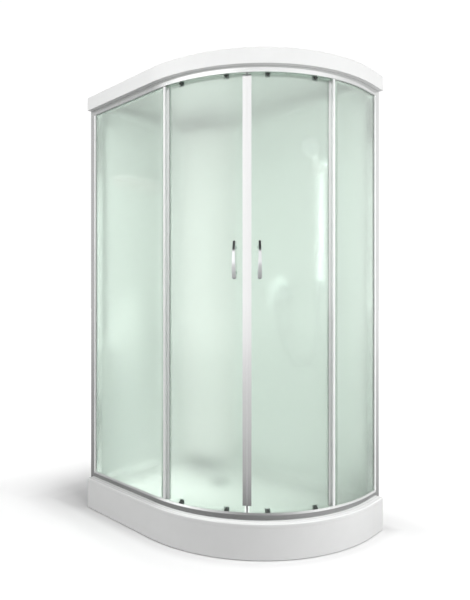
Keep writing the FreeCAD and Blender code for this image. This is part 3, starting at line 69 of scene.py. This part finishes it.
# Floor: size, greys as seen and for bounced light, surface, and the reach of its painted glow and painted
# reflection
FLOOR_SIZE = 80.0
FLOOR_GREYS = (0.765, 0.775)
FLOOR_BOUNCE = 0.38
FLOOR_GRAIN = 2.0
FLOOR_ROUGHNESS = 0.9
GLOW_REACH = 4.0
PAINTED_REFLECTION_REACH = 20.0

# Painted brightness of the floor: each stop is a share of the reach and a level
# Painted glow seen directly, kept low near the tray as painted shadow on top of the real one
EDGE_SHADOW_GLOW = ((0.0, 0.0), (0.004, 0.03), (0.02, 0.17), (0.075, 0.29), (0.5, 0.5), (1.0, 0.58))
SIDE_SHADOW_GLOW = ((0.0, 0.04), (0.05, 0.09), (0.0675, 0.15), (0.1, 0.22),
             (0.145, 0.24), (0.2, 0.34), (0.3, 0.46), (1.0, 0.58))
# Painted reflection of the floor in mirrors, dark near the object as painted shade
PAINTED_REFLECTION_STOPS = ((0.0, 0.06), (0.036, 0.07), (0.05, 0.27), (0.07, 0.44),
                (0.14, 0.60), (0.3, 0.74), (0.5, 0.9), (1.0, 1.0))

# Brightness of the room: each stop is a bearing or a height, both from 0 to 1, and a level
MIRROR_WALLS = ((0.0, 0.45), (0.11, 0.45), (0.15, 1.0), (0.20, 1.4),
                (0.28, 1.4), (0.36, 0.95), (0.50, 1.1), (0.62, 0.8))
MIRROR_HEIGHTS = ((0.50, 1.0), (0.72, 1.0), (0.81, 0.06), (1.0, 0.06))
SOFT_WALLS = ((0.0, 0.51), (0.04, 0.73), (0.10, 1.58), (0.20, 1.58), (0.28, 0.55), (1.0, 0.51))
SOFT_HEIGHTS = ((0.0, 1.0), (0.68, 1.0), (0.85, 0.5), (1.0, 0.4))
BACKDROP = 1.02
WHITE = (1.0, 1.0, 1.0, 1.0)

# High lamp: place, aim, strength and angular width in degrees
HIGH_LAMP = ((0.0, 0.0, 6.0), (-1.3, -0.12, 0.0), 1.4)
HIGH_WIDTH = 9.0

# Soft lamps: place, aim, size in metres, power in watts and cone in degrees
OUTER_LAMPS = {
    "side": ((2.9, 1.4, 1.0), (0.3, 0.1, 0.8), (1.6, 1.6), 42.0, 180.0),
    "front": ((2.0, -2.1, 3.0), (0.1, -0.1, 1.7), (2.0, 1.6), 4.8, 40.0),
    "low_left": ((-0.7, -2.4, 0.3), (-0.3, -0.4, 0.08), (1.4, 0.3), 0.4, 40.0),
    "low_right": ((2.4, -0.1, 0.3), (0.5, 0.0, 0.08), (1.0, 0.3), 0.29, 40.0),
    "left_high": ((-1.6, -2.4, 3.2), (-0.3, -0.4, 2.05), (1.2, 1.2), 1.5, 40.0),
}
INNER_LAMPS = {
    "inside_left": ((-0.35, -0.30, 1.38), (-0.35, 0.4, 1.38), (0.5, 1.15), 1.85, 180.0),
    "inside_right": ((0.52, 0.28, 1.12), (-0.4, 0.28, 1.12), (0.2, 1.7), 0.9, 180.0),
    "short_wall": ((-0.2, -0.2, 1.35), (-0.6, -0.2, 1.35), (0.3, 1.2), 0.35, 120.0),
    "long_wall": ((0.40, 0.05, 1.45), (0.40, 0.4, 1.45), (0.25, 0.9), 0.32, 180.0),
    "tray": ((0.08, -0.02, 1.25), (0.08, -0.02, 0.0), (0.8, 0.4), 1.35, 55.0),
    "tray_left": ((-0.36, -0.16, 1.20), (-0.42, -0.20, 0.0), (0.25, 0.3), 1.2, 50.0),
    "bar_shine": ((0.50, 0.10, 1.49), (0.323, 0.36, 1.49), (0.15, 0.66), 0.42, 60.0),
}

# Finishes: the span of noise that is spread out, the strength of relief, and the sockets of a colour mix
NOISE_SPAN = (0.3, 0.7)
RELIEF_STRENGTH = 0.25
MIX_FIRST = 6
MIX_SECOND = 7
MIX_RESULT = 2

# Frosted glass: refraction, polished coat, etched grain and faint clouds
GLASS_IOR = 1.45
COAT_IOR = 1.9
COAT_ROUGHNESS = 0.04
GLASS_DETAIL = 2.0
ETCH_SCALE = 900.0
ETCH_STRENGTH = 0.1
ETCH_DEPTH = 0.0002
CLOUD_SCALE = 3.0
CLOUD_SHADE = 0.97

# Shower hose: its route from the mixer to the hand shower, and the corner where its straight rise ends
HOSE_ROUTE = [Vector(corner) for corner in (
    (0.0450, 0.3360, 1.0740),
    (0.0450, 0.3360, 1.0040),
    (0.1173, 0.3240, 0.7350),
    (0.2896, 0.3060, 0.7350),
    (0.3230, 0.2837, 0.9250),
    (0.3230, 0.3018, 1.5789),
    (0.3230, 0.2837, 1.6465),
)]
RISE_TOP = 5
LINE_STEPS = 400
HOSE_RADIUS = 0.007
RIB_PITCH = 0.0045
RIB_DEPTH = 0.0006

# Nut and cone of the hose: each pair is a distance along the axis and a radius
NUT_PROFILE = ((0.0, 0.0098), (0.0, 0.0110), (0.001, 0.0115), (0.012, 0.0115),
               (0.013, 0.0110), (0.016, 0.0090), (0.020, 0.0078))
NUT_SIDES = 6
CONE_PROFILE = ((0.0, 0.0085), (0.0, 0.0104), (0.0008, 0.0110), (0.006, 0.0110),
                (0.007, 0.0104), (0.018, 0.0082), (0.020, 0.0076))

# Spray nozzles: rings with the middle one, how many more each holds, and the steps of a nozzle's outline
NOZZLE_RINGS = 5
NOZZLES_ADDED = 6
RING_SPACING = 0.0066
NOZZLE_PROFILE = ((-0.0002, 0.0017), (0.0008, 0.0014), (0.0012, 0.0009))
NOZZLE_SIDES = 10


def principled(name):
    """A new material with its shader and a texture coordinate node."""
    material = bpy.data.materials.new(name)
    material.use_nodes = True
    tree = material.node_tree
    shader = tree.nodes["Principled BSDF"]
    place = tree.nodes.new("ShaderNodeTexCoord")
    return material, tree, shader, place


def noise(tree, place, scale, detail=3.0):
    """Noise in the object's own metres."""
    texture = tree.nodes.new("ShaderNodeTexNoise")
    texture.inputs["Scale"].default_value = scale
    texture.inputs["Detail"].default_value = detail
    tree.links.new(place.outputs["Object"], texture.inputs["Vector"])
    return texture.outputs["Fac"]


def spread(tree, factor, low, high):
    """Spreads the usual span of noise over a range of values."""
    node = tree.nodes.new("ShaderNodeMapRange")
    node.inputs["From Min"].default_value, node.inputs["From Max"].default_value = NOISE_SPAN
    node.inputs["To Min"].default_value = low
    node.inputs["To Max"].default_value = high
    tree.links.new(factor, node.inputs["Value"])
    return node.outputs["Result"]


def mixed(tree, factor, first, second):
    """Mix of two colours, each a colour or a socket: all of the second where the factor is 1."""
    node = tree.nodes.new("ShaderNodeMix")
    node.data_type = "RGBA"
    for index, colour in ((MIX_FIRST, first), (MIX_SECOND, second)):
        if isinstance(colour, tuple):
            node.inputs[index].default_value = (*colour, 1.0)
        else:
            tree.links.new(colour, node.inputs[index])
    tree.links.new(factor, node.inputs["Factor"])
    return node.outputs[MIX_RESULT]


def calc(tree, operation, first, second):
    """Result of an operation on two values, each a number or a socket."""
    node = tree.nodes.new("ShaderNodeMath")
    node.operation = operation
    for index, value in enumerate((first, second)):
        if isinstance(value, float):
            node.inputs[index].default_value = value
        else:
            tree.links.new(value, node.inputs[index])
    return node.outputs[0]


def grey(level):
    """Colour with three equal channels."""
    return (level, level, level)


def bumps(tree, shader, height, strength, distance):
    """Fine relief on the shader's normal."""
    bump = tree.nodes.new("ShaderNodeBump")
    bump.inputs["Strength"].default_value = strength
    bump.inputs["Distance"].default_value = distance
    tree.links.new(height, bump.inputs["Height"])
    tree.links.new(bump.outputs["Normal"], shader.inputs["Normal"])


def uneven(tree, shader, factor, colour, shade, roughness):
    """A colour that wanders a little darker, and roughness that wanders with it."""
    darker = tuple(channel * shade for channel in colour)
    tree.links.new(mixed(tree, factor, darker, colour), shader.inputs["Base Color"])
    tree.links.new(spread(tree, factor, *roughness), shader.inputs["Roughness"])


def finish(name, colour, roughness, metallic=0.0, shade=0.96, scale=40.0, relief=0.0, **sockets):
    """Opaque finish, a little uneven and, if asked, with a fine relief."""
    material, tree, shader, place = principled(name)
    grain = noise(tree, place, scale)
    uneven(tree, shader, grain, colour, shade, roughness)
    shader.inputs["Metallic"].default_value = metallic
    for socket, value in sockets.items():
        shader.inputs[socket.replace("_", " ")].default_value = value
    if relief:
        bumps(tree, shader, grain, RELIEF_STRENGTH, relief)
    return material


def frosted(name, colour, roughness, clear):
    """Frosted tinted glass: light passes and scatters, and a fine etched grain breaks up the surface."""
    material, tree, shader, place = principled(name)
    grain = noise(tree, place, ETCH_SCALE, GLASS_DETAIL)
    cloud = noise(tree, place, CLOUD_SCALE, GLASS_DETAIL)
    uneven(tree, shader, cloud, colour, CLOUD_SHADE, roughness)
    shader.inputs["Transmission Weight"].default_value = clear
    shader.inputs["IOR"].default_value = GLASS_IOR
    shader.inputs["Coat Weight"].default_value = 1.0
    shader.inputs["Coat Roughness"].default_value = COAT_ROUGHNESS
    shader.inputs["Coat IOR"].default_value = COAT_IOR
    bumps(tree, shader, grain, ETCH_STRENGTH, ETCH_DEPTH)
    return material


# Painted light: a paler, matt copy of the aluminium that paints out the shade in the gaps, and a brighter
# copy painted to look lit
SHADE_LIFTING_SATIN = finish("shade_lifting_satin", (0.94, 0.955, 0.945), (0.5, 0.56), shade=0.99, scale=300.0)
LIT_LOOK_SATIN = finish("lit_look_satin", (0.93, 0.93, 0.93), (0.14, 0.18), metallic=0.9, shade=0.99, scale=300.0)
SHADE_LIFTING_KINDS = ("edge_trim", "trailing_stile", "glass_profile")
LIT_LOOK_KINDS = ("leading_stile", "magnet_seal")
LOOKS = {
    "acrylic": finish("acrylic", (0.86, 0.865, 0.86), (0.10, 0.18), scale=18.0,
                      Coat_Weight=0.5, Coat_Roughness=0.05),
    "wall_board": finish("wall_board", (0.88, 0.90, 0.89), (0.15, 0.25), scale=12.0),
    "column_board": finish("column_board", (0.94, 0.92, 0.92), (0.12, 0.2), scale=14.0),
    "frame_tube": finish("frame_tube", (0.12, 0.125, 0.13), (0.4, 0.55), scale=60.0, relief=0.0004),
    "foot_plastic": finish("foot_plastic", (0.03, 0.03, 0.03), (0.4, 0.6), scale=120.0, relief=0.0003),
    "zinc_steel": finish("zinc_steel", (0.62, 0.63, 0.65), (0.25, 0.4), metallic=1.0, scale=200.0),
    "waste_plastic": finish("waste_plastic", (0.7, 0.7, 0.68), (0.35, 0.5), scale=80.0, relief=0.0003),
    "seal_rubber": finish("seal_rubber", (0.03, 0.03, 0.03), (0.55, 0.75), scale=150.0, relief=0.0003),
    "chrome": finish("chrome", (0.86, 0.87, 0.88), (0.03, 0.07), metallic=1.0, scale=30.0),
    "satin_aluminium": finish("satin_aluminium", (0.86, 0.87, 0.865), (0.12, 0.16), metallic=0.85,
                              shade=0.99, scale=300.0),
    "frosted_glass": frosted("frosted_glass", (0.85, 0.965, 0.885), (0.21, 0.25), 0.92),
    "clear_seal": finish("clear_seal", (0.84, 0.86, 0.85), (0.3, 0.45), scale=70.0, Transmission_Weight=0.3),
    "dark_plastic": finish("dark_plastic", (0.11, 0.125, 0.115), (0.3, 0.45), scale=150.0, relief=0.0002),
    "nylon": finish("nylon", (0.8, 0.8, 0.78), (0.35, 0.5), scale=150.0),
    "shower_plastic": finish("shower_plastic", (0.90, 0.90, 0.90), (0.08, 0.14), metallic=0.3, scale=40.0),
    "spray_rubber": finish("spray_rubber", (0.78, 0.79, 0.80), (0.4, 0.55), scale=120.0, relief=0.0004),
    "steel_hose": finish("steel_hose", (0.7, 0.71, 0.72), (0.18, 0.3), metallic=1.0, scale=400.0),
}


def dress():
    """Gives each CAD piece the finish of its slot, apart from some strips with painted light: a paler copy of
    the aluminium that paints out the shade in their gaps, and a brighter copy painted to look lit.
    """
    look_of = {name: LOOKS[slot] for name, slot in slot_of.items()}
    for side in ("left", "right"):
        look_of.update({f"{side}_{kind}": SHADE_LIFTING_SATIN for kind in SHADE_LIFTING_KINDS})
        look_of.update({f"{side}_{kind}": LIT_LOOK_SATIN for kind in LIT_LOOK_KINDS})
    for name, piece in nodes.items():
        for index in range(len(piece.material_slots)):
            piece.material_slots[index].material = look_of[name]


def smooth_line(route, steps):
    """Points of the smooth line that a route's corners pull towards them."""
    curve = bpy.data.curves.new("line", "CURVE")
    curve.dimensions = "3D"
    curve.resolution_u = steps
    spline = curve.splines.new("NURBS")
    spline.points.add(len(route) - 1)
    for point, corner in zip(spline.points, route):
        point.co = (*corner, 1.0)
    spline.order_u = 3
    spline.use_endpoint_u = True
    line = bpy.data.objects.new("line", curve)
    mesh = bpy.data.meshes.new_from_object(line)
    points = [vertex.co.copy() for vertex in mesh.vertices]
    bpy.data.objects.remove(line)
    bpy.data.curves.remove(curve)
    bpy.data.meshes.remove(mesh)
    return points


def mesh_piece(name, vertices, faces, slot):
    """A smooth-shaded mesh object in the finish of a slot."""
    mesh = bpy.data.meshes.new(name)
    mesh.from_pydata(vertices, [], faces)
    mesh.shade_smooth()
    mesh.materials.append(LOOKS[slot])
    piece = bpy.data.objects.new(name, mesh)
    bpy.context.scene.collection.objects.link(piece)
    return piece


def ring_faces(rings, sides):
    """Quads between neighbouring rings of vertices, and a cap at each end."""
    faces = []
    for ring in range(rings - 1):
        for side in range(sides):
            after = (side + 1) % sides
            faces.append((ring * sides + side, ring * sides + after,
                          (ring + 1) * sides + after, (ring + 1) * sides + side))
    faces.append(tuple(reversed(range(sides))))
    faces.append(tuple(range((rings - 1) * sides, rings * sides)))
    return faces


def circle(centre, across, up, radius, sides):
    """Vertices of a ring round a centre."""
    turns = [2.0 * math.pi * side / sides for side in range(sides)]
    return [centre + (across * math.cos(turn) + up * math.sin(turn)) * radius for turn in turns]


def ribbed_tube(name, path, sides=14):
    """Hose wound from steel strip, whose surface rises and falls with every turn, and its length."""
    vertices = []
    across = Vector((0.0, 1.0, 0.0))
    along = 0.0
    for index, point in enumerate(path):
        behind = path[max(index - 1, 0)]
        ahead = path[min(index + 1, len(path) - 1)]
        heading = (ahead - behind).normalized()
        across = (across - heading * across.dot(heading)).normalized()
        dip = RIB_DEPTH * (0.5 - 0.5 * math.cos(2.0 * math.pi * along / RIB_PITCH))
        vertices += circle(point, across, heading.cross(across), HOSE_RADIUS - dip, sides)
        along += (ahead - point).length
    return mesh_piece(name, vertices, ring_faces(len(path), sides), "steel_hose"), along


def turned(name, foot, heading, profile, slot, sides=32):
    """Body of revolution: the profile pairs a distance along the axis with a radius."""
    heading = heading.normalized()
    across = heading.orthogonal().normalized()
    vertices = []
    for distance, radius in profile:
        vertices += circle(foot + heading * distance, across, heading.cross(across), radius, sides)
    return mesh_piece(name, vertices, ring_faces(len(profile), sides), slot)


def hose():
    """Hose in two lengths that meet on its straight rise, one from the mixer and one up to the hand shower,
    in place of the CAD hose, which is hidden.
    """
    join = (HOSE_ROUTE[RISE_TOP - 1] + HOSE_ROUTE[RISE_TOP]) / 2.0
    lower_path = smooth_line([*HOSE_ROUTE[:RISE_TOP], join], LINE_STEPS)
    upper_path = smooth_line([join, *HOSE_ROUTE[RISE_TOP:]], LINE_STEPS)
    lower, lower_length = ribbed_tube("hose_lower", lower_path)
    upper, upper_length = ribbed_tube("hose_upper", upper_path)
    for piece, path, length in ((lower, lower_path, lower_length), (upper, upper_path, upper_length)):
        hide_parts("shower_hose")
    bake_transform(lower)
    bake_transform(upper)


def hose_ends():
    """Six-sided nut under the mixer and the cone under the hand shower."""
    down = HOSE_ROUTE[1] - HOSE_ROUTE[0]
    nut = turned("hose_nut", HOSE_ROUTE[0], down, NUT_PROFILE, "chrome", sides=NUT_SIDES)
    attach(nut, "cabin")
    back = HOSE_ROUTE[-2] - HOSE_ROUTE[-1]
    cone = turned("hose_cone", HOSE_ROUTE[-1], back, CONE_PROFILE, "chrome")
    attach(cone, "handset")


def spray_plane():
    """Centre of the spray face's outer side, and its outward direction."""
    plate = nodes["spray_face"]
    low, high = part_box("spray_face")
    centre = (Vector(low) + Vector(high)) / 2.0
    flat = max(plate.data.polygons, key=lambda face: face.area)
    heading = flat.normal.copy()
    if heading.y > 0.0:
        heading.negate()
    depth = max((vertex.co - centre).dot(heading) for vertex in plate.data.vertices)
    return centre + heading * depth, heading


def nozzles():
    """Rubber nozzles in rings over the spray face."""
    centre, heading = spray_plane()
    across = heading.orthogonal().normalized()
    up = heading.cross(across)
    vertices, faces = [], []
    for ring in range(NOZZLE_RINGS):
        count = max(1, NOZZLES_ADDED * ring)
        for spot in circle(centre, across, up, RING_SPACING * ring, count):
            first = len(vertices)
            for rise, radius in NOZZLE_PROFILE:
                vertices += circle(spot + heading * rise, across, up, radius, NOZZLE_SIDES)
            faces += [tuple(first + corner for corner in face)
                      for face in ring_faces(len(NOZZLE_PROFILE), NOZZLE_SIDES)]
    piece = mesh_piece("spray_nozzles", vertices, faces, "spray_rubber")
    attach(piece, "handset")


def lamp(name, kind, place, target, energy):
    """A lamp that lights the object but isn't seen itself."""
    data = bpy.data.lights.new(name, kind)
    data.energy = energy
    piece = bpy.data.objects.new(name, data)
    piece.location = place
    piece.rotation_euler = (Vector(target) - Vector(place)).to_track_quat("-Z", "Y").to_euler()
    piece.visible_camera = False
    piece.visible_glossy = False
    piece.visible_transmission = False
    bpy.context.scene.collection.objects.link(piece)
    return piece


def softbox(name, place, target, size, power, cone):
    """Rectangular lamp whose light keeps to a cone."""
    piece = lamp(name, "AREA", place, target, power)
    piece.data.shape = "RECTANGLE"
    piece.data.size, piece.data.size_y = size
    piece.data.spread = math.radians(cone)
    return piece


def ramp(tree, value, stops):
    """Value that runs smoothly through stops, each a place from 0 to 1 and a brightness."""
    node = tree.nodes.new("ShaderNodeValToRGB")
    node.color_ramp.interpolation = "EASE"
    points = node.color_ramp.elements
    while len(points) < len(stops):
        points.new(0.5)
    for point, (position, level) in zip(points, stops):
        point.position = position
        point.color = (*grey(level), 1.0)
    tree.links.new(value, node.inputs["Fac"])
    return node.outputs["Color"]


def split_axes(tree, vector):
    """Node whose outputs are the three parts of a vector."""
    node = tree.nodes.new("ShaderNodeSeparateXYZ")
    tree.links.new(vector, node.inputs[0])
    return node


def bearing(tree, axes):
    """Direction round the vertical axis as a value from 0 to 1."""
    angle = calc(tree, "ARCTAN2", axes.outputs["Y"], axes.outputs["X"])
    return calc(tree, "ADD", calc(tree, "DIVIDE", angle, 2.0 * math.pi), 0.5)


def seen_directly(tree, path):
    """1 for rays from the camera, also through glass, and 0 for all others."""
    return calc(tree, "MAXIMUM", path.outputs["Is Camera Ray"], path.outputs["Is Transmission Ray"])


def painted_shadow_glow(tree, axes):
    """Painted glow that grows with the distance from the tray's outline, later on the shadow's side, so the
    floor near the tray keeps a painted shadow.
    """
    x, y = axes.outputs["X"], axes.outputs["Y"]
    arc_x, arc_y, arc_radius = TRAY_ARC
    right = calc(tree, "MAXIMUM", calc(tree, "SUBTRACT", x, arc_x), 0.0)
    ahead = calc(tree, "MAXIMUM", calc(tree, "SUBTRACT", arc_y, y), 0.0)
    squares = calc(tree, "ADD", calc(tree, "MULTIPLY", right, right), calc(tree, "MULTIPLY", ahead, ahead))
    front = calc(tree, "SUBTRACT", calc(tree, "SQRT", squares, 0.0), arc_radius)
    edge = calc(tree, "MAXIMUM", front, calc(tree, "SUBTRACT", y, TRAY_BACK))
    side = calc(tree, "SUBTRACT", -TRAY_SIDE, x)
    by_edge = ramp(tree, calc(tree, "DIVIDE", edge, GLOW_REACH), EDGE_SHADOW_GLOW)
    by_side = ramp(tree, calc(tree, "DIVIDE", side, GLOW_REACH), SIDE_SHADOW_GLOW)
    return calc(tree, "MAXIMUM", by_edge, by_side)


def paint_floor_reflection(tree, place, axes):
    """Painted reflection of the floor, seen only in mirrors: painted shade near the object and as bright as
    the walls far away.
    """
    away = tree.nodes.new("ShaderNodeVectorMath")
    away.operation = "LENGTH"
    tree.links.new(place.outputs["Object"], away.inputs[0])
    distance = calc(tree, "DIVIDE", away.outputs["Value"], PAINTED_REFLECTION_REACH)
    walls = ramp(tree, bearing(tree, axes), MIRROR_WALLS)
    return calc(tree, "MULTIPLY", walls, ramp(tree, distance, PAINTED_REFLECTION_STOPS))


def floor_finish():
    """Pale matt floor that keeps the real shadow, with painted shadow near the tray from a glow that turns it
    white far away, and a darker painted reflection in mirrors.
    """
    material, tree, shader, place = principled("floor")
    shader.inputs["Roughness"].default_value = FLOOR_ROUGHNESS
    shader.inputs["Specular IOR Level"].default_value = 0.0
    path = tree.nodes.new("ShaderNodeLightPath")
    glossy = path.outputs["Is Glossy Ray"]
    pale = mixed(tree, noise(tree, place, FLOOR_GRAIN), *map(grey, FLOOR_GREYS))
    bounced = mixed(tree, path.outputs["Is Diffuse Ray"], pale, grey(FLOOR_BOUNCE))
    tree.links.new(mixed(tree, glossy, bounced, grey(0.0)), shader.inputs["Base Color"])
    axes = split_axes(tree, place.outputs["Object"])
    # Painted glow for rays seen directly, low near the tray as painted shadow
    white = calc(tree, "MULTIPLY", seen_directly(tree, path), painted_shadow_glow(tree, axes))
    # In mirrors the floor is black and glows with its painted reflection, dark near the object
    mirrored = calc(tree, "MULTIPLY", glossy, paint_floor_reflection(tree, place, axes))
    tree.links.new(calc(tree, "ADD", white, mirrored), shader.inputs["Emission Strength"])
    shader.inputs["Emission Color"].default_value = WHITE
    return material


def floor():
    """Wide floor under the object."""
    bpy.ops.mesh.primitive_plane_add(size=FLOOR_SIZE)
    piece = bpy.context.object
    piece.name = "floor"
    piece.data.materials.append(floor_finish())


def surround():
    """White room: soft light, stronger from one side and weaker from above, and a dark ceiling in mirrors."""
    world = bpy.data.worlds.new("room")
    bpy.context.scene.world = world
    world.use_nodes = True
    tree = world.node_tree
    path = tree.nodes.new("ShaderNodeLightPath")
    axes = split_axes(tree, tree.nodes.new("ShaderNodeTexCoord").outputs["Generated"])
    turn = bearing(tree, axes)
    height = calc(tree, "ADD", calc(tree, "MULTIPLY", axes.outputs["Z"], 0.5), 0.5)
    mirrored = calc(tree, "MULTIPLY", ramp(tree, turn, MIRROR_WALLS), ramp(tree, height, MIRROR_HEIGHTS))
    soft = calc(tree, "MULTIPLY", ramp(tree, turn, SOFT_WALLS), ramp(tree, height, SOFT_HEIGHTS))
    other = mixed(tree, path.outputs["Is Glossy Ray"], soft, mirrored)
    level = mixed(tree, seen_directly(tree, path), other, grey(BACKDROP))
    backdrop = tree.nodes["Background"]
    tree.links.new(level, backdrop.inputs["Strength"])
    backdrop.inputs["Color"].default_value = WHITE


def lamps():
    """Soft lamps outside, a high lamp for the short shadow, and the light that the frosted glass lets in."""
    high = lamp("high", "SUN", *HIGH_LAMP)
    high.data.angle = math.radians(HIGH_WIDTH)
    for name, values in OUTER_LAMPS.items():
        softbox(name, *values)
    inner = {name: softbox(name, *values) for name, values in INNER_LAMPS.items()}
    inner["bar_shine"].visible_diffuse = False
    for piece in inner.values():
        piece.visible_glossy = True


def camera():
    """Level camera in front of the doors."""
    data = bpy.data.cameras.new("camera")
    data.sensor_width = SENSOR_WIDTH
    data.lens = LENS
    data.shift_x, data.shift_y = SHIFT
    eye = bpy.data.objects.new("camera", data)
    eye.location = CAMERA
    eye.rotation_euler = VIEW.to_track_quat("-Z", "Y").to_euler()
    bpy.context.scene.collection.objects.link(eye)
    bpy.context.scene.camera = eye


dress()
hose()
hose_ends()
nozzles()
floor()
surround()
lamps()
camera()
bpy.context.scene.view_settings.view_transform = "Standard"
